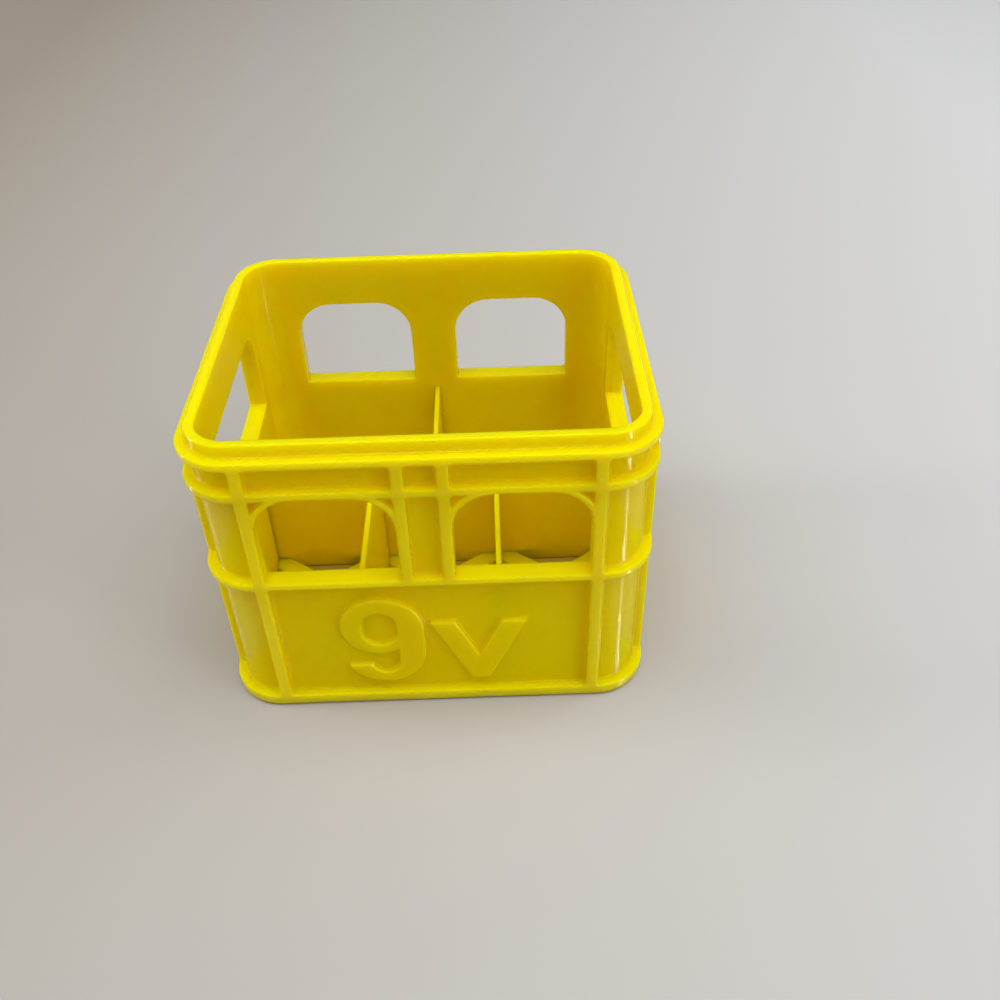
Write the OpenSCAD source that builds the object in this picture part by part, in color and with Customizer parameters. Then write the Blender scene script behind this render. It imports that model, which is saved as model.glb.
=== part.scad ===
// Open stacking crate that holds nine-volt block batteries upright, three in the front row and two behind.
// The real crate is one print. Each node below is one named region of it, and regions meet face to face.
// Origin: centre of the footprint, on the resting plane. X runs along the front, Y to the rear, Z up.

/* [Batteries] */
// Long side of a battery, seen from above
battery_long = 26.5; // [23:0.5:32]
// Short side of a battery, seen from above
battery_short = 17.5; // [15:0.5:22]
// Play left across a cell once its battery is in
cell_play = 0.8; // [0.2:0.1:2]

/* [Walls] */
// Thickness of the outer wall
wall_t = 1.4; // [0.8:0.1:2.4]
// How far ribs, bands, rim and base flange stand out of the wall
rib_depth = 1.5; // [1:0.1:2.5]
// Width of each upright rib
rib_w = 1.7; // [0.8:0.1:2.5]
// Outside radius of the crate's corners
corner_r = 7.5; // [5.5:0.1:10]
// Thickness of each divider
divider_t = 0.8; // [0.6:0.1:2]
// How far the dividers stop below the window sills
divider_drop = 1.8; // [0.5:0.1:8]

/* [Heights] */
// Height of the base flange
base_h = 2.2; // [1.2:0.1:4]
// Thickness of the floor grid
floor_t = 2; // [1:0.1:4]
// Height of the window sills above the resting plane
sill_z = 25.5; // [25:0.5:34]
// Clear height of the windows
window_h = 14.3; // [9:0.1:20]
// Wall left between the top of a window and the upper band
window_head = 0.2; // [0.2:0.1:2]
// Height of the middle band, of the upper band and of the rim flange
band_h = 1.2; // [0.6:0.1:2]
// Height of the recessed strip between the upper band and the rim flange
frieze_h = 3.8; // [2:0.1:8]
// Height of the stacking lip above the rim flange
lip_h = 1.8; // [0.8:0.1:4]

/* [Windows] */
// Width of the pillar between the two windows of a long wall
mullion_w = 7.4; // [4:0.1:10]
// Radius of the windows' top corners
window_r = 5.6; // [2:0.1:8]
// Width of the raised frame round the windows' top corners
arch_w = 0.8; // [0.5:0.1:2]

/* [Floor grid] */
// Width of each diagonal floor bar
bar_w = 3; // [2:0.1:4]
// Bar crosses in each cell, one after another along its long side
crosses_per_cell = 2; // [1:1:3]

/* [Rating mark] */
// How far the mark stands out of the front panel
mark_depth = 0.8; // [0.3:0.1:1.2]
// Height of the mark's foot above the resting plane
mark_z = 4.1; // [4.1:0.1:6]
// Height of the numeral
numeral_h = 16.9; // [15:0.1:18]
// Width of the numeral
numeral_w = 12; // [10:0.1:13]
// Width of the numeral's stroke left of its eye
numeral_stroke = 3.2; // [1.5:0.1:3.6]
// Width of the numeral's upright back
numeral_back = 4; // [2:0.1:4.5]
// Thickness of the numeral's crown, above its eye
numeral_crown = 2.6; // [1.5:0.1:3.5]
// Height of the bowl's underside above the mark's foot
bowl_z = 6.1; // [5:0.1:7]
// Thickness of the bowl under the numeral's eye
bowl_floor = 1.8; // [1:0.1:2.5]
// Length of the numeral's tail, along its top edge
tail_w = 4.1; // [3:0.1:4.5]
// Height of the numeral's tail
tail_h = 3.7; // [3:0.1:4.5]
// Thickness of the numeral's foot
numeral_foot = 2; // [1.2:0.1:2.8]
// Height of the unit letter
letter_h = 12.1; // [8:0.1:16]
// Width of the unit letter
letter_w = 13.9; // [9:0.1:16]
// Width of the unit letter's arms along their top edges
letter_stroke = 3.7; // [2:0.1:4.2]
// Width of the unit letter's foot
letter_foot = 2.7; // [1:0.1:4]
// Space between the numeral and the unit letter
mark_gap = 0.8; // [0.4:0.1:3]

/* [Hidden] */
$fn = 96;

// Cells: how many stand in each row, and their sizes
front_cells = 3;
rear_cells = 2;
cell_long = battery_long + cell_play;
cell_short = battery_short + cell_play;

// Inside of the wall, outer face of the wall, and envelope over the ribs and bands
inner_w = max(front_cells * cell_short + (front_cells - 1) * divider_t,
    rear_cells * cell_long + (rear_cells - 1) * divider_t);
inner_d = cell_long + divider_t + cell_short;
front_cell_w = (inner_w - (front_cells - 1) * divider_t) / front_cells;
rear_cell_w = (inner_w - (rear_cells - 1) * divider_t) / rear_cells;
skin_w = inner_w + 2 * wall_t;
skin_d = inner_d + 2 * wall_t;
outer_w = skin_w + 2 * rib_depth;
outer_d = skin_d + 2 * rib_depth;
skin_r = corner_r - rib_depth;
inner_r = skin_r - wall_t;

// Straight stretches of the walls between the rounded corners
long_run = outer_w - 2 * corner_r;
side_run = outer_d - 2 * corner_r;

// Levels, from the bottom up
middle_z = sill_z - band_h;
upper_z = sill_z + window_h + window_head;
frieze_z = upper_z + band_h;
rim_z = frieze_z + frieze_h;
lip_z = rim_z + band_h;
divider_top = sill_z - divider_drop;
lower_h = middle_z - base_h;
window_wall_h = window_h + window_head;

// Stretches of plain wall between the bands, each as [foot, height]
spans = [[base_h, lower_h], [sill_z, window_wall_h], [frieze_z, frieze_h]];

// Windows: a long wall has one each side of its mullion, a side wall has one in its middle
long_window_w = (long_run - mullion_w) / 2 - rib_w;
side_window_w = side_run - 2 * rib_w;
long_windows = [-(mullion_w + long_window_w) / 2, (mullion_w + long_window_w) / 2];
side_windows = [0];

// Middles of the upright ribs along a wall: at the ends of the run, and at the edges of the mullion
end_rib = (long_run - rib_w) / 2;
side_rib = (side_run - rib_w) / 2;
mullion_rib = (mullion_w - rib_w) / 2;

// Where the rows of cells and the dividers lie
front_y = -inner_d / 2;
cross_y = front_y + cell_long;
rear_y = cross_y + divider_t;
mark_w = numeral_w + mark_gap + letter_w;

plastic = [0.89, 0.79, 0.02];
shaded_plastic = [0.80, 0.68, 0.02];

// ---------- outlines ----------

module rounded_outline(w, d, r) {
    square([w - 2 * r, d], center = true);
    square([w, d - 2 * r], center = true);
    for (x = [-1, 1], y = [-1, 1])
        translate([x * (w / 2 - r), y * (d / 2 - r)]) circle(r = r);
}

module inner_outline() rounded_outline(inner_w, inner_d, inner_r);
module skin_outline() rounded_outline(skin_w, skin_d, skin_r);
module outer_outline() rounded_outline(outer_w, outer_d, corner_r);

// A window with square sill corners and round top corners, grown outwards by a margin
module window_outline(w, margin = 0) {
    spring_h = window_h - window_r;
    translate([-w / 2 - margin, 0]) square([w + 2 * margin, spring_h]);
    translate([-w / 2 + window_r, 0]) square([w - 2 * window_r, window_h + margin]);
    for (x = [-1, 1])
        translate([x * (w / 2 - window_r), spring_h]) circle(r = window_r + margin);
}

// The raised frame round a window's top corners, up to the band above and out to the ribs beside it
module arch_outline(w) {
    difference() {
        intersection() {
            window_outline(w, arch_w);
            translate([-w / 2, window_h - window_r]) square([w, window_r + window_head]);
        }
        window_outline(w);
    }
}

// ---------- walls ----------

// A ring of the crate's plan between two outlines, at one level
module band(z) {
    translate([0, 0, z]) linear_extrude(band_h) difference() {
        outer_outline();
        inner_outline();
    }
}

// Sides are drawn with Y pointing outwards from the inner face of the wall
module on_side(turn, reach) {
    rotate([0, 0, turn]) translate([0, reach, 0]) children();
}
module on_front() on_side(180, inner_d / 2) children();
module on_rear() on_side(0, inner_d / 2) children();
module on_left() on_side(90, inner_w / 2) children();
module on_right() on_side(-90, inner_w / 2) children();

// An upright slab of the given thickness, starting at the given distance from the inner face
module upright(start, thickness) {
    translate([0, start + thickness, 0]) rotate([90, 0, 0]) linear_extrude(thickness) children();
}

module panel(run, span) {
    color(plastic) translate([-run / 2, 0, span[0]]) cube([run, wall_t, span[1]]);
}

module window_wall(run, windows, w) {
    color(plastic) translate([0, 0, sill_z]) upright(0, wall_t) difference() {
        translate([-run / 2, 0]) square([run, window_wall_h]);
        for (x = windows) translate([x, 0]) window_outline(w);
    }
}

module window_arches(windows, w) {
    color(plastic) translate([0, 0, sill_z]) upright(wall_t, rib_depth)
        for (x = windows) translate([x, 0]) arch_outline(w);
}

module rib(x, span) {
    translate([x - rib_w / 2, wall_t, span[0]]) cube([rib_w, rib_depth, span[1]]);
}

// Ribs of a wall: the end ribs run between all bands, the mullion's only above the sill
module ribs(end_x, mullion_xs) {
    color(plastic) {
        for (x = [-end_x, end_x], span = spans) rib(x, span);
        for (x = mullion_xs, span = [spans[1], spans[2]]) rib(x, span);
    }
}

// The wall round one corner, between the bands; its outer face lies as deep as the panels
module post(side_x, side_y) {
    color(shaded_plastic) for (span = spans)
        translate([side_x * (outer_w / 2 - corner_r), side_y * (outer_d / 2 - corner_r), span[0]])
            linear_extrude(span[1]) intersection() {
                difference() {
                    circle(r = skin_r);
                    circle(r = inner_r);
                }
                translate([side_x * skin_r / 2, side_y * skin_r / 2]) square(skin_r, center = true);
            }
}

// ---------- floor and dividers ----------

// Each cell's near left corner and size on the floor
front_floor = [for (i = [0 : front_cells - 1])
    [-inner_w / 2 + i * (front_cell_w + divider_t), front_y, front_cell_w, cell_long]];
rear_floor = [for (i = [0 : rear_cells - 1])
    [-inner_w / 2 + i * (rear_cell_w + divider_t), rear_y, rear_cell_w, cell_short]];

// The same for each cross of bars, with a cell's crosses in a row along its long side
front_crosses = [for (c = front_floor, k = [0 : crosses_per_cell - 1])
    [c[0], c[1] + k * c[3] / crosses_per_cell, c[2], c[3] / crosses_per_cell]];
rear_crosses = [for (c = rear_floor, k = [0 : crosses_per_cell - 1])
    [c[0] + k * c[2] / crosses_per_cell, c[1], c[2] / crosses_per_cell, c[3]]];
crosses = concat(front_crosses, rear_crosses);

// One diagonal of a cross, as a strip that runs past its corners
module diagonal(c, way) {
    translate([c[0] + c[2] / 2, c[1] + c[3] / 2]) rotate(way * atan2(c[3], c[2]))
        square([2 * (c[2] + c[3]), bar_w], center = true);
}

module floor_bars(way) {
    color(shaded_plastic) for (c = crosses) linear_extrude(floor_t) intersection() {
        difference() {
            diagonal(c, way);
            if (way < 0) diagonal(c, 1);
        }
        translate([c[0], c[1]]) square([c[2], c[3]]);
        inner_outline();
    }
}

module front_divider(i) {
    color(plastic)
        translate([-inner_w / 2 + i * front_cell_w + (i - 1) * divider_t, front_y, 0])
            cube([divider_t, cell_long, divider_top]);
}

// ---------- rating mark ----------

// An upright slot with round ends, from the given corner
module slot(x, z, w, h) {
    translate([x, z + w / 2]) square([w, h - w]);
    for (end_z = [z + w / 2, z + h - w / 2]) translate([x + w / 2, end_z]) circle(r = w / 2);
}

// A nine: a round bowl with an upright eye, a thick back, and a foot that ends in a level tail
module numeral_outline() {
    bend_r = numeral_w / 2;
    bowl_r = (numeral_h - bowl_z) / 2;
    back_x = numeral_w - numeral_back;
    eye_z = bowl_z + bowl_floor;
    difference() {
        union() {
            translate([bowl_r, numeral_h - bowl_r]) circle(r = bowl_r);
            translate([bowl_r, numeral_h - bend_r]) square([max(bend_r - bowl_r, 0), bend_r]);
            translate([bend_r, numeral_h - bend_r]) intersection() {
                circle(r = bend_r);
                square(bend_r);
            }
            translate([back_x, bend_r]) square([numeral_back, numeral_h - 2 * bend_r]);
        }
        slot(numeral_stroke, eye_z, back_x - numeral_stroke, numeral_h - numeral_crown - eye_z);
    }
    difference() {
        translate([bend_r, bend_r]) intersection() {
            circle(r = bend_r);
            translate([-bend_r, -bend_r]) square([numeral_w, bend_r]);
        }
        slot(tail_w, numeral_foot, back_x - tail_w, numeral_w);
        translate([0, tail_h]) square([tail_w, bend_r]);
    }
}

// A plain v with arms of even width
module letter_outline() {
    foot_x = (letter_w - letter_foot) / 2;
    fork_h = letter_h * (1 - (letter_w / 2 - letter_stroke) / foot_x);
    polygon([
        [0, letter_h], [letter_stroke, letter_h], [letter_w / 2, fork_h],
        [letter_w - letter_stroke, letter_h], [letter_w, letter_h],
        [foot_x + letter_foot, 0], [foot_x, 0]
    ]);
}

module mark(x) {
    color(plastic) translate([x, -skin_d / 2, mark_z]) rotate([90, 0, 0])
        linear_extrude(mark_depth) children();
}

// ---------- nodes ----------

module base_flange() {
    color(plastic) linear_extrude(base_h) difference() {
        outer_outline();
        inner_outline();
    }
}
module floor_bars_rising() floor_bars(1);
module floor_bars_falling() floor_bars(-1);

module front_lower_panel() on_front() panel(long_run, spans[0]);
module rear_lower_panel() on_rear() panel(long_run, spans[0]);
module left_lower_panel() on_left() panel(side_run, spans[0]);
module right_lower_panel() on_right() panel(side_run, spans[0]);

module front_left_post() post(-1, -1);
module front_right_post() post(1, -1);
module rear_left_post() post(-1, 1);
module rear_right_post() post(1, 1);

module middle_band() color(plastic) band(middle_z);
module upper_band() color(plastic) band(upper_z);
module rim_flange() color(plastic) band(rim_z);
module stacking_lip() {
    color(plastic) translate([0, 0, lip_z]) linear_extrude(lip_h) difference() {
        skin_outline();
        inner_outline();
    }
}

module front_window_wall() on_front() window_wall(long_run, long_windows, long_window_w);
module rear_window_wall() on_rear() window_wall(long_run, long_windows, long_window_w);
module left_window_wall() on_left() window_wall(side_run, side_windows, side_window_w);
module right_window_wall() on_right() window_wall(side_run, side_windows, side_window_w);

module front_window_arches() on_front() window_arches(long_windows, long_window_w);
module rear_window_arches() on_rear() window_arches(long_windows, long_window_w);
module left_window_arch() on_left() window_arches(side_windows, side_window_w);
module right_window_arch() on_right() window_arches(side_windows, side_window_w);

module front_upper_panel() on_front() panel(long_run, spans[2]);
module rear_upper_panel() on_rear() panel(long_run, spans[2]);
module left_upper_panel() on_left() panel(side_run, spans[2]);
module right_upper_panel() on_right() panel(side_run, spans[2]);

module front_ribs() on_front() ribs(end_rib, [-mullion_rib, mullion_rib]);
module rear_ribs() on_rear() ribs(end_rib, [-mullion_rib, mullion_rib]);
module left_ribs() on_left() ribs(side_rib, []);
module right_ribs() on_right() ribs(side_rib, []);

module cross_divider() {
    color(plastic) translate([-inner_w / 2, cross_y, 0]) cube([inner_w, divider_t, divider_top]);
}
module rear_divider() {
    color(plastic) translate([-divider_t / 2, rear_y, 0]) cube([divider_t, cell_short, divider_top]);
}
module front_divider_left() front_divider(1);
module front_divider_right() front_divider(2);

module mark_numeral() mark(-mark_w / 2) numeral_outline();
module mark_letter() mark(mark_w / 2 - letter_w) letter_outline();

base_flange();
floor_bars_rising();
floor_bars_falling();
front_lower_panel();
rear_lower_panel();
left_lower_panel();
right_lower_panel();
front_left_post();
front_right_post();
rear_left_post();
rear_right_post();
middle_band();
front_window_wall();
rear_window_wall();
left_window_wall();
right_window_wall();
front_window_arches();
rear_window_arches();
left_window_arch();
right_window_arch();
upper_band();
front_upper_panel();
rear_upper_panel();
left_upper_panel();
right_upper_panel();
rim_flange();
stacking_lip();
front_ribs();
rear_ribs();
left_ribs();
right_ribs();
cross_divider();
rear_divider();
front_divider_left();
front_divider_right();
mark_numeral();
mark_letter();
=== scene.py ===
"""Looks of the battery crate: a smooth printed shell, its floor grid and its dividers, on a pale floor."""
import math

import bpy
import numpy as np
from mathutils import Matrix, Vector


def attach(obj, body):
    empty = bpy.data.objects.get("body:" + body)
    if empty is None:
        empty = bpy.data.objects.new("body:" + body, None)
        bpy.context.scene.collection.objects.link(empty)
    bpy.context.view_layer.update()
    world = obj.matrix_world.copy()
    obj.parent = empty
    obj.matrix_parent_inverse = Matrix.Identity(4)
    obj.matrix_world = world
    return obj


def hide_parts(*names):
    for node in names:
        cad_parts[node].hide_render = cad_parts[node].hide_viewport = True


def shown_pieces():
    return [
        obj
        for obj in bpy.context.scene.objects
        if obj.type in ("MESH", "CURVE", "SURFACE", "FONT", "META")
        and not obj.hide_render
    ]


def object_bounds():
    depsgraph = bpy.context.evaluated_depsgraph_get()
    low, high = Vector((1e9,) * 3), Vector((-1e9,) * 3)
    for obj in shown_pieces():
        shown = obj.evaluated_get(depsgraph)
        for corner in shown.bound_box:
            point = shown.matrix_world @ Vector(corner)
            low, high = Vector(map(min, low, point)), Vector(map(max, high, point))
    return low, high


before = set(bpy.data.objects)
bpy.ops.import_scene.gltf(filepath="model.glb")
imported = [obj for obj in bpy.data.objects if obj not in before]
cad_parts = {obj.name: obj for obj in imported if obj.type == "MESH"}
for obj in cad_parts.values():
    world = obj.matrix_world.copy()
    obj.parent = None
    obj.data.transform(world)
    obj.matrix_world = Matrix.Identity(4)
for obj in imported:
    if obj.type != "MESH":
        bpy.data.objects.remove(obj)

cad_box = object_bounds()
MM = 0.001

# ---------------------------------------------------------------- sizes, in mm, as in the CAD
size = [round((hi - lo) / MM, 2) for lo, hi in zip(*cad_box)]
OUTER = size[:2]
TOP_Z = size[2]
CORNER_R = 7.5
PROUD = 1.5                 # ribs, bands, rim and base flange stand this far out of the wall
WALL = 1.4
SKIN = [v - 2 * PROUD for v in OUTER]
INNER = [v - 2 * WALL for v in SKIN]
HALF_IN = [v / 2 for v in INNER]
SKIN_R = CORNER_R - PROUD
INNER_R = SKIN_R - WALL
LONG_RUN = OUTER[0] - 2 * CORNER_R          # the straight part of the front
SIDE_RUN = OUTER[1] - 2 * CORNER_R

# the rings round the crate: the base flange, the middle and upper bands and the rim flange
BASE_H = 2.2
BAND_H = 1.2
SILL_Z = 25.5
MIDDLE_Z = SILL_Z - BAND_H
UPPER_Z = 40.0
RIM_Z = 45.0
BANDS = [(0.0, BASE_H)] + [(z, z + BAND_H) for z in (MIDDLE_Z, UPPER_Z, RIM_Z)]

# the ribs, which end inside the base flange and inside the rim
RIB_W = 1.7
RIBS_Z = (1.0, RIM_Z + BAND_H / 2)
MULLION_W = 7.4
MULLION_Z = MIDDLE_Z + 0.3                  # the mullion's ribs start inside the middle band
END_RIB = (LONG_RUN - RIB_W) / 2
SIDE_RIB = (SIDE_RUN - RIB_W) / 2
MULLION_RIB = (MULLION_W - RIB_W) / 2

# the windows and the raised frames round their tops
WINDOW_H = 14.3 + 0.35                      # higher than in the CAD: the tops bite into the upper band
WINDOW_R = 5.6
ARCH_W = 0.8
LONG_WINDOW_W = (LONG_RUN - MULLION_W) / 2 - RIB_W
LONG_WINDOW_X = (MULLION_W + LONG_WINDOW_W) / 2
SIDE_WINDOW_W = SIDE_RUN - 2 * RIB_W

# the floor bars and the dividers
FLOOR_T = 2.0
BAR_W = 3.0
BAR_INTO_WALL = 0.4
BAR_LAP = 0.15                              # the two rows of bars overlap so far inside the cross divider
DIVIDER_T = 0.8
DIVIDER_TOP = 23.7
DIVIDER_INTO = 0.3                          # how far a divider's edges run into what they meet
CROSS_Y = 4.1
REAR_Y = CROSS_Y + DIVIDER_T
FRONT_CELL_W = (INNER[0] - 2 * DIVIDER_T) / 3
REAR_CELL_W = (INNER[0] - DIVIDER_T) / 2

# the raised mark
MARK_Z = 4.1
MARK_DEPTH = 0.8
MARK_GAP = 0.8
NUMERAL_W = 12.0
NUMERAL_H = 16.9
NUMERAL_STROKE = 3.2
NUMERAL_BACK = 4.0
NUMERAL_CROWN = 2.6
NUMERAL_FOOT = 2.0
BOWL_Z = 6.1
BOWL_FLOOR = 1.8
TAIL_W = 4.1
TAIL_H = 3.7
NECK = 2.0                                  # how far the numeral's foot runs up into its head
LETTER_W = 13.9
LETTER_H = 12.1
LETTER_STROKE = 3.7
LETTER_FOOT = 2.7
MARK_W = NUMERAL_W + MARK_GAP + LETTER_W

# softness of the print's edges
EDGE_R = 0.32
BASE_R = 0.9                # the print's first layers curl in a little further
OPENING_R = 0.25            # round the windows, and along the floor bars
BOARD_TOP_R = 0.35          # along a divider's top
BOARD_SIDE_R = 0.1
SILL_CORNER_R = 0.2
MARK_CORNER_R = 0.1

# softness of the corners where one form meets another
FILLET = 0.5
CROSSING_FILLET = 0.6       # between a rib and a band
ARCH_FILLET = 0.3
MARK_FILLET = 0.25

# unevenness of the print
WAVER = 0.035               # how far the edges waver
RIB_WAVER = 0.06            # how far the ribs' upright edges waver from layer to layer
SEAM_RISE = 0.09            # the swelling where each layer starts
SEAM_SPREAD = 0.8
SEAM_STRAY = 0.3
SEAM_TURN = math.radians(112)
# ripples: how fast each runs along x, y and z, and where it starts
EDGE_WAVES = ((0.31, -0.2, 1.7, 0.0), (-0.47, 0.6, 2.9, 1.3), (1.1, 0.9, 0.4, 0.0), (2.3, -1.9, 0.0, 2.1))
RIB_WAVES = ((0.9, 0.5, 4.7, 0.0), (-0.8, 0.7, 3.3, 0.9))
PATCH_WAVES = ((0.2, -0.15, 0.55, 0.0),)


# ---------------------------------------------------------------- distance fields
def both(a, b, r=EDGE_R):
    """Inside both shapes, with the edge between them rounded to radius r."""
    a, b = a + r, b + r
    return np.minimum(np.maximum(a, b), 0) + np.hypot(np.maximum(a, 0), np.maximum(b, 0)) - r


def either(a, b, k=FILLET):
    """Inside either shape, with a soft fillet where they meet."""
    h = np.maximum(k - np.abs(a - b), 0) / k
    return np.minimum(a, b) - h * h * k / 4


def slab(v, lo, hi):
    """Between two parallel planes."""
    return np.abs(v - (lo + hi) / 2) - (hi - lo) / 2


def rounded(x, y, half_x, half_y, r):
    """A rectangle with round corners, about the origin."""
    qx, qy = np.abs(x) - half_x + r, np.abs(y) - half_y + r
    return np.hypot(np.maximum(qx, 0), np.maximum(qy, 0)) + np.minimum(np.maximum(qx, qy), 0) - r


def window(u, z, width):
    """A window's outline: round top corners, square corners at the sill."""
    deep = 20.0                             # the arch's own lower corners are this far below the sill
    arch = rounded(u, z - SILL_Z - (WINDOW_H - deep) / 2, width / 2, (WINDOW_H + deep) / 2, WINDOW_R)
    return both(arch, SILL_Z - z, SILL_CORNER_R)


def slot(u, v, lo_u, lo_v, hi_u, hi_v):
    """An upright slot with round ends."""
    r = (hi_u - lo_u) / 2
    above = v - np.clip(v, lo_v + r, hi_v - r)
    return np.hypot(u - lo_u - r, above) - r


def numeral(u, v):
    """A plain nine: a bowl with a straight back, and a foot that hooks round to a tail. v runs up."""
    bend, bowl, back = NUMERAL_W / 2, (NUMERAL_H - BOWL_Z) / 2, NUMERAL_W - NUMERAL_BACK
    top = np.hypot(u - bowl, v - NUMERAL_H + bowl) - bowl
    right = np.hypot(np.maximum(u - bend, 0), np.maximum(v - NUMERAL_H + bend, 0)) - bend
    right = np.maximum(np.maximum(right, bend - v), np.where(v < NUMERAL_H - bend, back - u, bowl - u))
    eye = slot(u, v, NUMERAL_STROKE, BOWL_Z + BOWL_FLOOR, back, NUMERAL_H - NUMERAL_CROWN)
    head = both(np.minimum(top, right), -eye, MARK_CORNER_R)
    foot = np.hypot(u - bend, np.minimum(v - bend, 0)) - bend
    foot = both(foot, -slot(u, v, TAIL_W, NUMERAL_FOOT, back, NUMERAL_H), MARK_CORNER_R)
    foot = both(foot, -np.maximum(u - TAIL_W, TAIL_H - v), MARK_CORNER_R)
    return np.minimum(head, np.maximum(foot, v - bend - NECK))


def letter(u, v):
    """A plain small v. v runs up."""
    foot_x = (LETTER_W - LETTER_FOOT) / 2
    fork = LETTER_H * (1 - (LETTER_W / 2 - LETTER_STROKE) / foot_x)
    pts = [(0, LETTER_H), (LETTER_STROKE, LETTER_H), (LETTER_W / 2, fork),
           (LETTER_W - LETTER_STROKE, LETTER_H), (LETTER_W, LETTER_H), (foot_x + LETTER_FOOT, 0), (foot_x, 0)]
    best, inside = np.inf, False
    for (ax, ay), (bx, by) in zip(pts, pts[1:] + pts[:1]):
        ex, ey = bx - ax, by - ay
        t = np.clip(((u - ax) * ex + (v - ay) * ey) / (ex * ex + ey * ey), 0, 1)
        best = np.minimum(best, np.hypot(u - ax - t * ex, v - ay - t * ey))
        if ay != by:
            inside = inside ^ (((ay > v) != (by > v)) & (u < ex * (v - ay) / ey + ax))
    return np.where(inside, -best, best)


def waves(x, y, z, rows):
    """Some ripples together, between -1 and 1."""
    return sum(np.sin(a * x + b * y + c * z + start) for a, b, c, start in rows) / len(rows)


def waver(x, y, z):
    """Slow uneven ripples, as a printer's head leaves along edges."""
    return waves(x, y, z, EDGE_WAVES)


def rib_waver(x, y, z):
    """Quicker uneven ripples up the ribs, strongest on the left as the print shows."""
    patchy = 0.6 + 0.4 * waves(x, y, z, PATCH_WAVES)
    more_at_left = 0.65 - 0.35 * np.clip(x / (OUTER[0] / 2), -1, 1)
    return waves(x, y, z, RIB_WAVES) * patchy * more_at_left


def seam(x, y, z):
    """A soft upright swelling where each layer starts, in the rear left corner inside."""
    corner_x, corner_y = INNER_R - HALF_IN[0], HALF_IN[1] - INNER_R
    stray = SEAM_STRAY * np.sin(1.1 * z + 0.4) * np.sin(0.6 * z)
    along = (x - corner_x) * math.sin(SEAM_TURN) - (y - corner_y) * math.cos(SEAM_TURN) - stray
    near_corner = (x < corner_x + INNER_R) & (y > corner_y - INNER_R)
    return np.where(near_corner, SEAM_RISE * np.exp(-(along / SEAM_SPREAD) ** 2), 0)


def relief(x, y, z, windows):
    """The pattern that stands out of the wall: bands, ribs and the arches over the windows."""
    bands = slab(z, *BANDS[0])
    for band in BANDS[1:]:
        bands = np.minimum(bands, slab(z, *band))
    ribs = np.minimum(np.abs(np.abs(x) - END_RIB), np.abs(np.abs(y) - SIDE_RIB)) - RIB_W / 2
    mullion = np.maximum(np.abs(np.abs(x) - MULLION_RIB) - RIB_W / 2, MULLION_Z - z)
    ribs = np.maximum(np.minimum(ribs, mullion) + RIB_WAVER * rib_waver(x, y, z), slab(z, *RIBS_Z))
    pattern = either(bands, ribs, CROSSING_FILLET)
    spring = SILL_Z + WINDOW_H - WINDOW_R - z
    for w in windows:
        pattern = either(pattern, np.maximum(w - ARCH_W, spring), ARCH_FILLET)
        pattern = np.minimum(pattern, w)
    return pattern


def mark(x, y, z, ripple):
    """The raised mark, carried on inwards past the wall's inside, where the crate's hollow cuts it."""
    inward = 3.2                            # how far past it
    plan = np.minimum(numeral(x + MARK_W / 2, z - MARK_Z), letter(x - MARK_W / 2 + LETTER_W, z - MARK_Z))
    face = -y - SKIN[1] / 2 - MARK_DEPTH
    return np.maximum(both(plan + WAVER / 2 * ripple, face), y + HALF_IN[1] - inward)


def shell(x, y, z):
    """Walls, bands, ribs, arches, rim, lip and mark, as one print."""
    wall = rounded(x, y, *[v / 2 for v in SKIN], SKIN_R)
    ripple = waver(x, y, z)
    windows = (window(np.abs(x) - LONG_WINDOW_X, z, LONG_WINDOW_W), window(y, z, SIDE_WINDOW_W))
    edge = np.where(z < BASE_H / 2, BASE_R, EDGE_R)
    proud = both(relief(x, y, z, windows) + WAVER * ripple, wall - PROUD, edge)
    d = either(proud, both(wall, slab(z, 0, TOP_Z), edge))
    d = either(d, mark(x, y, z, ripple), MARK_FILLET)
    d = both(d, -(wall + WALL + seam(x, y, z)))
    for w in windows:
        d = both(d, -w - WAVER * ripple, OPENING_R)
    return d


def bars(x, y):
    """The diagonal floor bars in plan. Those of the two rows overlap a little inside the cross divider."""
    pitch_x, pitch_y = FRONT_CELL_W + DIVIDER_T, (CROSS_Y + HALF_IN[1]) / 2
    front_x = np.abs(np.abs(np.abs(x) - pitch_x / 2) - pitch_x / 2)
    front_y = np.abs(np.abs(y + HALF_IN[1] - pitch_y) - pitch_y / 2)
    turn = math.atan2(pitch_y, FRONT_CELL_W)
    front = np.abs(front_y * math.cos(turn) - front_x * math.sin(turn)) - BAR_W / 2

    pitch_x, depth = REAR_CELL_W / 2, HALF_IN[1] - REAR_Y
    rear_x = np.abs(np.abs(np.abs(x) - DIVIDER_T / 2 - pitch_x) - pitch_x / 2)
    rear_y = np.abs(y - REAR_Y - depth / 2)
    turn = math.atan2(depth, pitch_x)
    rear = np.abs(rear_y * math.cos(turn) - rear_x * math.sin(turn)) - BAR_W / 2

    middle = CROSS_Y + DIVIDER_T / 2
    return np.minimum(np.maximum(front, y - middle - BAR_LAP), np.maximum(rear, middle - BAR_LAP - y))


def floor_grid(x, y, z):
    """The crossed bars under the cells. Their ends run a little way into the wall."""
    reach = rounded(x, y, *[v + BAR_INTO_WALL for v in HALF_IN], INNER_R + BAR_INTO_WALL)
    return both(np.maximum(bars(x, y), reach), slab(z, 0, FLOOR_T), OPENING_R)


def board(lo, hi):
    """A divider: a thin upright board with a rounded top edge."""
    def field(x, y, z):
        plan = both(slab(x, lo[0], hi[0]), slab(y, lo[1], hi[1]), BOARD_SIDE_R)
        return both(plan, slab(z, lo[2], hi[2]), BOARD_TOP_R)
    return field


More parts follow.
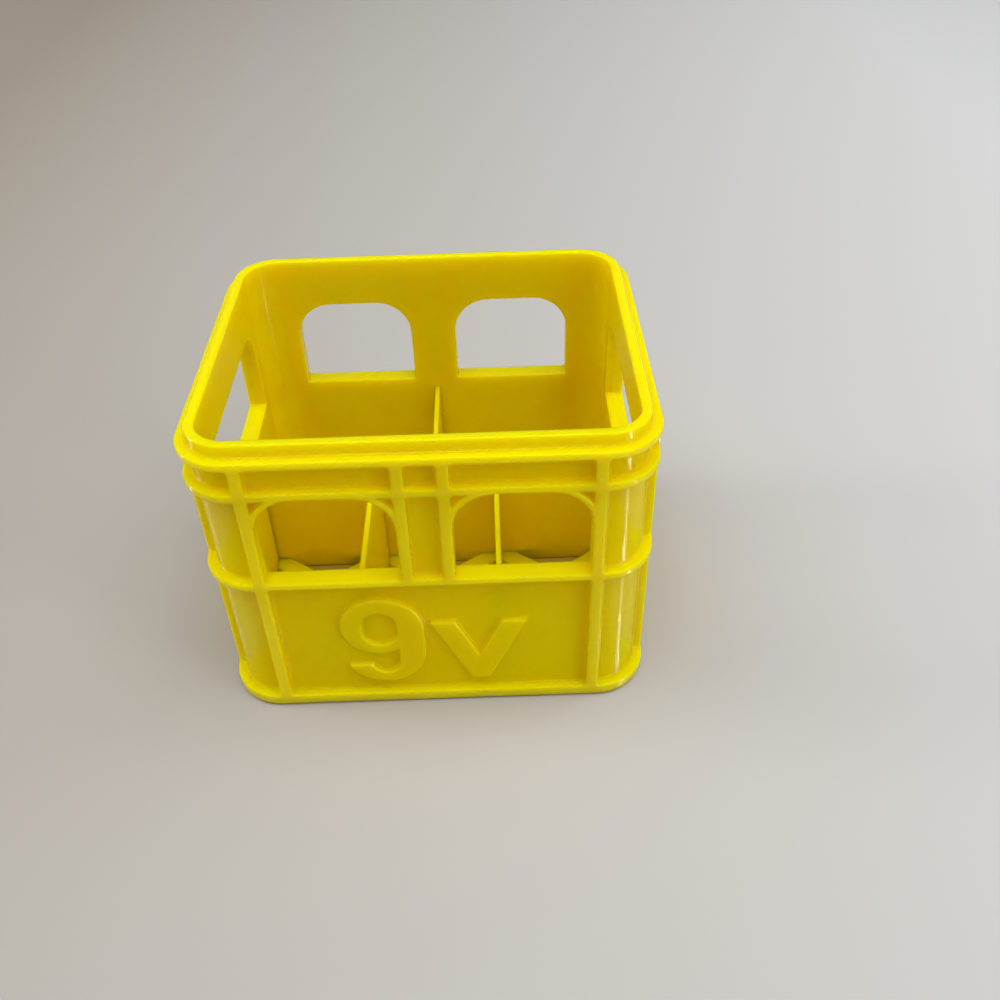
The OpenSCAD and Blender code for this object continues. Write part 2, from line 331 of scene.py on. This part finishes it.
# ---------------------------------------------------------------- meshing
def graded(lo, hi, fine_spans, fine, coarse):
    """Grid lines from lo to hi, close together inside the fine spans."""
    line = [lo]
    while line[-1] < hi:
        here = line[-1]
        close = any(a <= here <= b for a, b in fine_spans)
        ahead = min([a - here for a, b in fine_spans if a > here] + [coarse])
        line.append(here + (fine if close else max(min(coarse, ahead), fine)))
    return np.array(line)


def other_axes(axis):
    """The two axes across this one."""
    return [a for a in range(3) if a != axis]


def net_points(d, cells, grid):
    """One point in each crossed cell: the middle of the places where the surface cuts its edges."""
    total, hits = np.zeros((len(cells), 3)), np.zeros(len(cells))
    for axis in range(3):
        side, other = other_axes(axis)
        for p in (0, 1):
            for q in (0, 1):
                a = cells.copy()
                a[:, side] += p
                a[:, other] += q
                b = a.copy()
                b[:, axis] += 1
                da, db = d[tuple(a.T)], d[tuple(b.T)]
                cut = (da < 0) != (db < 0)
                t = np.where(cut, da / np.where(cut, da - db, 1), 0)
                point = np.stack([grid[n][a[:, n]] for n in range(3)], 1)
                point[:, axis] += t * (grid[axis][b[:, axis]] - grid[axis][a[:, axis]])
                total[cut] += point[cut]
                hits += cut
    return total / hits[:, None]


def net_quads(inside, index):
    """A quad across each grid edge that the surface cuts, facing out."""
    quads = []
    for axis in range(3):
        side, other = other_axes(axis)
        first, second = [slice(1, -1)] * 3, [slice(1, -1)] * 3
        first[axis], second[axis] = slice(0, -1), slice(1, None)
        da, db = inside[tuple(first)], inside[tuple(second)]
        at = np.argwhere(da != db)
        leaving = da[tuple(at.T)]
        at[:, [side, other]] += 1
        ring = []
        for p, q in ((1, 1), (0, 1), (0, 0), (1, 0)):
            cell = at.copy()
            cell[:, side] -= p
            cell[:, other] -= q
            ring.append(index[tuple(cell.T)])
        ring = np.stack(ring, 1)
        flip = leaving if axis != 1 else ~leaving
        quads.append(np.where(flip[:, None], ring, ring[:, ::-1]))
    return np.concatenate(quads)


def surface_net(field, xs, ys, zs):
    """Quads on the field's zero surface: one vertex in each grid cell that the surface crosses."""
    hair = 1e-7                             # no grid point lies nearer to the surface than this
    d = field(xs[:, None, None], ys[None, :, None], zs[None, None, :])
    d = np.where(np.abs(d) < hair, hair, d)
    inside = d < 0
    corners = [inside[i:i + len(xs) - 1, j:j + len(ys) - 1, k:k + len(zs) - 1]
               for i in (0, 1) for j in (0, 1) for k in (0, 1)]
    count = sum(c.astype(np.int8) for c in corners)
    cells = np.argwhere((count > 0) & (count < len(corners)))
    index = np.full(count.shape, -1, np.int64)
    index[tuple(cells.T)] = np.arange(len(cells))
    return net_points(d, cells, (xs, ys, zs)), net_quads(inside, index)


def slope(field, points, h):
    """The field's gradient, which points straight out of the surface."""
    x, y, z = points.T
    return np.stack([field(x + h, y, z) - field(x - h, y, z), field(x, y + h, z) - field(x, y - h, z),
                     field(x, y, z + h) - field(x, y, z - h)], 1) / (2 * h)


def settle(field, points):
    """Moves points straight onto the field's zero surface, in a few short steps."""
    steps, reach, longest, least_slope = 4, 1e-3, 0.2, 0.25
    for _ in range(steps):
        g = slope(field, points, reach)
        g /= np.maximum((g * g).sum(1), least_slope)[:, None]
        points = points - np.clip(field(*points.T)[:, None] * g, -longest, longest)
    return points


def quad_mesh(name, points, quads):
    """A mesh of quads, from points in mm."""
    mesh = bpy.data.meshes.new(name)
    mesh.vertices.add(len(points))
    mesh.vertices.foreach_set("co", (points * MM).astype(np.float32).ravel())
    mesh.loops.add(quads.size)
    mesh.loops.foreach_set("vertex_index", quads.astype(np.int32).ravel())
    mesh.polygons.add(len(quads))
    mesh.polygons.foreach_set("loop_start", np.arange(0, quads.size, 4, dtype=np.int32))
    mesh.update(calc_edges=True)
    mesh.validate()
    return mesh


def thinned(obj, keep):
    """The object's mesh with only this share of its faces, most of them where it curves."""
    thin = obj.modifiers.new("thin", "DECIMATE")
    thin.ratio = keep
    mesh = bpy.data.meshes.new_from_object(obj.evaluated_get(bpy.context.evaluated_depsgraph_get()))
    obj.modifiers.clear()
    return mesh


def smooth(mesh, field):
    """Puts the mesh's vertices onto the surface, inside the CAD's box, with the surface's own normals."""
    normal_reach, tiny = 0.02, 1e-6
    at = np.empty(len(mesh.vertices) * 3, np.float32)
    mesh.vertices.foreach_get("co", at)
    at = settle(field, at.reshape(-1, 3).astype(np.float64) / MM)
    facing = slope(field, at, normal_reach)
    facing /= np.maximum(np.linalg.norm(facing, axis=1), tiny)[:, None]
    at = np.clip(at * MM, cad_box[0], cad_box[1]).astype(np.float32)
    mesh.vertices.foreach_set("co", at.ravel())
    mesh.polygons.foreach_set("use_smooth", np.ones(len(mesh.polygons), bool))
    mesh.normals_split_custom_set_from_vertices(facing.tolist())
    mesh.update()


def piece(name, field, grid, keep=1.0):
    """A piece of the crate: the field's surface, found on the grid and thinned to the share kept."""
    points, quads = surface_net(field, *grid)
    obj = bpy.data.objects.new(name, quad_mesh(name, settle(field, points), quads))
    bpy.context.scene.collection.objects.link(obj)
    if keep < 1:
        obj.data = thinned(obj, keep)
    smooth(obj.data, field)
    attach(obj, "root")
    return obj


# ---------------------------------------------------------------- pieces
KEEP = 0.6                  # share of the faces kept where the grid is finer than the flat walls need


def near(spots, reach=0.55):
    """A span round each spot."""
    return [(s - reach, s + reach) for s in spots]


def mirrored(spans):
    """The spans, and the same on the other side of zero."""
    return spans + [(-b, -a) for a, b in spans]


def crate_grid():
    """Grid lines for the shell: fine at ribs, bands, round corners, window tops and the mark."""
    fine, coarse_x, coarse_y, coarse_z = 0.27, 0.7, 0.9, 0.4
    margin, beside_rib, inside_mullion, above_mark = 0.6, 1.2, 1.6, 0.5
    arc = WINDOW_R + 0.7                    # a little more than the round part of a window's top
    out_x, out_y = (v / 2 + margin for v in OUTER)
    mark_x, window_top = MARK_W / 2 + margin, SILL_Z + WINDOW_H
    x_spans = mirrored([(END_RIB - beside_rib, out_x), (LONG_WINDOW_X + LONG_WINDOW_W / 2 - arc, END_RIB),
                        (inside_mullion, LONG_WINDOW_X - LONG_WINDOW_W / 2 + arc)]) + [(-mark_x, mark_x)]
    y_spans = mirrored([(SIDE_RIB - beside_rib, out_y), (SIDE_WINDOW_W / 2 - arc, SIDE_RIB)])
    z_spans = near([z for band in BANDS for z in band] + [TOP_Z])
    z_spans += [(MARK_Z - above_mark, MARK_Z + NUMERAL_H + above_mark), (window_top - arc, window_top)]
    return (graded(-out_x, out_x, x_spans, fine, coarse_x), graded(-out_y, out_y, y_spans, fine, coarse_y),
            graded(-margin, TOP_Z + margin, z_spans, fine, coarse_z))


def bars_grid():
    """Grid lines for the floor bars: even in plan, and fine in height at their two faces."""
    reach_x, reach_y, step = 29.4, 24.3, 0.3
    out, into, fine, coarse = 0.5, 0.6, 0.2, 0.6
    heights = graded(-out, FLOOR_T + out, [(-out, into), (FLOOR_T - out, FLOOR_T + out)], fine, coarse)
    return np.arange(-reach_x, reach_x, step), np.arange(-reach_y, reach_y, step), heights


def board_grid(lo, hi):
    """Grid lines for a divider, fine at its edges."""
    out, into, fine, coarse = 0.4, 0.5, 0.13, 0.9
    return [graded(a - out, b + out, [(a - out, a + into), (b - into, b + out)], fine, coarse)
            for a, b in zip(lo, hi)]


crate = piece("crate_shell", shell, crate_grid(), KEEP)
apart = ("floor_bars", "cross_divider", "rear_divider", "front_divider")
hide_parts(*[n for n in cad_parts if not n.startswith(apart)])

bar_grid = piece("floor_grid", floor_grid, bars_grid(), KEEP)
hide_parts("floor_bars_rising", "floor_bars_falling")

in_x, in_y = HALF_IN
wide, deep = in_x + DIVIDER_INTO, in_y + DIVIDER_INTO
left_x = FRONT_CELL_W - in_x
right_x = left_x + FRONT_CELL_W + DIVIDER_T
boards = {
    "cross_divider": ((-wide, CROSS_Y), (wide, REAR_Y)),
    "rear_divider": ((-DIVIDER_T / 2, REAR_Y - DIVIDER_INTO), (DIVIDER_T / 2, deep)),
    "front_divider_left": ((left_x, -deep), (left_x + DIVIDER_T, CROSS_Y + DIVIDER_INTO)),
    "front_divider_right": ((right_x, -deep), (right_x + DIVIDER_T, CROSS_Y + DIVIDER_INTO)),
}
for name, (lo, hi) in boards.items():
    lo, hi = (*lo, 0), (*hi, DIVIDER_TOP)
    divider = piece("printed_" + name, board(lo, hi), board_grid(lo, hi))
    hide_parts(name)


# ---------------------------------------------------------------- materials, in metres
def feed(node, inputs):
    """Sets a node's inputs, by name or number, to a value or to another node's output."""
    for key, value in inputs.items():
        if isinstance(value, bpy.types.NodeSocket):
            node.id_data.links.new(value, node.inputs[key])
        else:
            node.inputs[key].default_value = value


def add(tree, kind, inputs, **settings):
    """Adds a node to a material and sets its inputs."""
    node = tree.nodes.new(kind)
    for key, value in settings.items():
        setattr(node, key, value)
    feed(node, inputs)
    return node


def math_node(tree, operation, *values, **settings):
    """A sum with numbers, and its result."""
    return add(tree, "ShaderNodeMath", dict(enumerate(values)), operation=operation, **settings).outputs[0]


def vector_node(tree, operation, *values):
    """A sum with vectors, and its result."""
    node = add(tree, "ShaderNodeVectorMath", dict(enumerate(values)), operation=operation)
    return node.outputs["Value" if operation == "DOT_PRODUCT" else "Vector"]


def scaled(tree, value, factor):
    """A vector times a number."""
    inputs = {"Vector": value, "Scale": factor}
    return add(tree, "ShaderNodeVectorMath", inputs, operation="SCALE").outputs["Vector"]


def noise(tree, place, scale, detail):
    """Soft cloudy values from 0 to 1. The scale is in clouds to the metre."""
    inputs = {"Vector": place, "Scale": scale, "Detail": detail}
    return add(tree, "ShaderNodeTexNoise", inputs).outputs["Fac"]


def mixed(tree, share, first, second):
    """A colour between two others."""
    return add(tree, "ShaderNodeMix", {0: share, 6: first, 7: second}, data_type="RGBA").outputs[2]


def new_material(name):
    """A material, its nodes and its shader."""
    mat = bpy.data.materials.new(name)
    mat.use_nodes = True
    return mat, mat.node_tree, mat.node_tree.nodes["Principled BSDF"]


def layered_normal(tree, place):
    """The surface's normal, nodding up and down once a layer. The nod fades where a face isn't upright."""
    layer, wander_turn, nod_most, nod_fade = 0.0002, 2.0, 0.85, 5.0
    straight_up = (0.0, 0.0, 1.0)
    normal = add(tree, "ShaderNodeNewGeometry", {}).outputs["Normal"]
    height = add(tree, "ShaderNodeSeparateXYZ", {0: place}).outputs["Z"]
    wander = math_node(tree, "MULTIPLY", noise(tree, place, scale=90.0, detail=2.0), wander_turn)
    phase = math_node(tree, "ADD", math_node(tree, "MULTIPLY", height, 2 * math.pi / layer), wander)
    lean = vector_node(tree, "DOT_PRODUCT", normal, straight_up)
    standing = math_node(tree, "SUBTRACT", 1.0, math_node(tree, "MULTIPLY", lean, lean))
    reach = math_node(tree, "MULTIPLY", math_node(tree, "POWER", standing, nod_fade), nod_most)
    nod = math_node(tree, "MULTIPLY", math_node(tree, "SINE", phase), reach)
    rise = vector_node(tree, "SUBTRACT", straight_up, scaled(tree, normal, lean))
    return vector_node(tree, "NORMALIZE", vector_node(tree, "ADD", normal, scaled(tree, rise, nod)))


def printed_plastic():
    """Glossy yellow plastic laid down in level layers: the layers spread every highlight up and down."""
    mat, tree, shader = new_material("printed_yellow")
    place = add(tree, "ShaderNodeTexCoord", {}).outputs["Object"]

    # the walls are not quite flat: faint waves, longer up than along
    stretched = add(tree, "ShaderNodeMapping", {"Vector": place, "Scale": (1.0, 1.0, 0.25)}).outputs[0]
    swell = noise(tree, stretched, scale=160.0, detail=3.0)
    bump = add(tree, "ShaderNodeBump", {
        "Strength": 0.08,
        "Distance": 0.00025,
        "Height": swell,
        "Normal": layered_normal(tree, place),
    })

    # the colour is a little deeper and lighter in soft patches
    ramp = add(tree, "ShaderNodeValToRGB", {0: noise(tree, place, scale=55.0, detail=4.0)})
    deeper, lighter = ramp.color_ramp.elements
    deeper.position, lighter.position = 0.35, 0.65
    deeper.color = (0.93, 0.635, 0.0, 1)
    lighter.color = (0.95, 0.670, 0.0, 1)
    feed(shader, {
        "Base Color": ramp.outputs[0],
        "Roughness": 0.09,
        "Specular IOR Level": 0.12,
        "Specular Tint": (1.0, 0.93, 0.6, 1),
        "Subsurface Weight": 1.0,
        "Subsurface Scale": 0.001,
        "Subsurface Radius": (6.0, 4.1, 0.25),
        "Normal": bump.outputs[0],
    })
    return mat


def pale_floor():
    """Plain and matt, with painted light: a painted shade at the left that lightens to the right, and a
    painted shade with painted yellow bounce light between the walls.
    """
    # the first two colours paint shade at the left and light at the right, as the room's light falls; the
    # third is a darker yellow that paints shade and bounce light under the crate
    left, right, painted_bounce_shade = (0.307, 0.272, 0.227, 1), (0.570, 0.576, 0.575, 1), (0.46, 0.33, 0.03, 1)
    painted_light_ramp = 3.0                        # painted light: share of the change from the shaded left to the lit right in each metre
    painted_bounce_lap = 0.15                         # in mm: the painted shade and yellow bounce light end just inside the walls
    half_x, half_y = ((v + painted_bounce_lap) * MM for v in HALF_IN)
    mat, tree, shader = new_material("pale_floor")
    place = add(tree, "ShaderNodeTexCoord", {}).outputs["Object"]
    across = add(tree, "ShaderNodeSeparateXYZ", {0: place}).outputs["X"]
    share = math_node(tree, "MULTIPLY_ADD", across, painted_light_ramp, 0.5, use_clamp=True)
    off_centre = add(tree, "ShaderNodeSeparateXYZ", {0: vector_node(tree, "ABSOLUTE", place)})
    inside_x = math_node(tree, "LESS_THAN", off_centre.outputs["X"], half_x)
    inside_y = math_node(tree, "LESS_THAN", off_centre.outputs["Y"], half_y)
    inside = math_node(tree, "MULTIPLY", inside_x, inside_y)
    feed(shader, {
        # painted light on the floor: the left-to-right ramp, and under the crate a painted shade with painted
        # yellow bounce light
        "Base Color": mixed(tree, inside, mixed(tree, share, left, right), painted_bounce_shade),
        "Roughness": 0.9,
        "Specular IOR Level": 0.0,
    })
    return mat


plastic = printed_plastic()
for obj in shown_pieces():
    obj.data.materials.clear()
    obj.data.materials.append(plastic)


# ---------------------------------------------------------------- floor, light and camera, in metres
def place_in_scene(name, data):
    """An object with this data, in the scene."""
    obj = bpy.data.objects.new(name, data)
    bpy.context.scene.collection.objects.link(obj)
    return obj


def make_floor(reach=4.0):
    """A level square that reaches well past the camera's view."""
    mesh = bpy.data.meshes.new("floor")
    corners = [(-reach, -reach, 0), (reach, -reach, 0), (reach, reach, 0), (-reach, reach, 0)]
    mesh.from_pydata(corners, [], [(0, 1, 2, 3)])
    mesh.materials.append(pale_floor())
    return place_in_scene("floor", mesh)


def lamp(name, azimuth, elevation, distance, width, height, watts):
    """A soft box that looks at the crate's middle from that direction, in degrees round from +X and up."""
    data = bpy.data.lights.new(name, "AREA")
    data.shape = "RECTANGLE"
    data.size, data.size_y = width, height
    data.energy = watts
    obj = place_in_scene(name, data)
    turn, rise = math.radians(azimuth), math.radians(elevation)
    aim = Vector((0, 0, TOP_Z / 2 * MM))
    away = Vector((math.cos(turn) * math.cos(rise), math.sin(turn) * math.cos(rise), math.sin(rise)))
    obj.location = aim + distance * away
    obj.rotation_euler = (aim - obj.location).to_track_quat("-Z", "Y").to_euler()
    return obj


def light_the_room():
    """One broad light overhead, a tall window at the right and softer light from both sides."""
    lamp("overhead", -75, 78, 1.2, 1.3, 1.1, 13.2)
    lamp("right_window", -34, 25, 1.0, 0.29, 0.9, 2.2).visible_glossy = False
    lamp("right_side", 5, 50, 1.0, 0.6, 0.5, 2.2).visible_glossy = False
    lamp("left_fill", 175, 20, 1.0, 0.2, 0.75, 2.5).visible_glossy = False
    lamp("left_side", 175, 50, 1.0, 0.6, 0.5, 1.8).visible_glossy = False
    # the low parts of the two windows once more, for their glints alone
    lamp("right_glint", -34, 6, 1.0, 0.12, 0.45, 28.0).visible_diffuse = False
    lamp("left_glint", 175, 6, 1.0, 0.1, 0.45, 4.0).visible_diffuse = False
    world = bpy.data.worlds.new("room")
    bpy.context.scene.world = world
    world.use_nodes = True
    feed(world.node_tree.nodes["Background"], {"Color": (1.0, 0.99, 0.97, 1), "Strength": 0.18})


def make_camera():
    """The photograph's camera: its focal length in pixels of the square frame, its turn and its place."""
    focal_px, frame_px, sensor = 1020.29, 1000, 36.0
    yaw, pitch, roll = (math.radians(v) for v in (0.2476, 40.329, -1.7735))
    stands_at = Vector((9.537, -124.147, 122.529)) * MM
    data = bpy.data.cameras.new("camera")
    data.sensor_width = sensor
    data.lens = focal_px / frame_px * sensor
    data.clip_start = 0.005
    forward = Vector((math.sin(yaw) * math.cos(pitch), math.cos(yaw) * math.cos(pitch), -math.sin(pitch)))
    right = Vector((math.cos(yaw), -math.sin(yaw), 0))
    above = right.cross(forward)
    turned_right = right * math.cos(roll) + above * math.sin(roll)
    turned_up = above * math.cos(roll) - right * math.sin(roll)
    pose = Matrix((turned_right, turned_up, -forward)).transposed().to_4x4()
    pose.translation = stands_at
    camera = place_in_scene("camera", data)
    camera.matrix_world = pose
    return camera


make_floor()
light_the_room()
bpy.context.scene.camera = make_camera()
bpy.context.scene.view_settings.view_transform = "Standard"
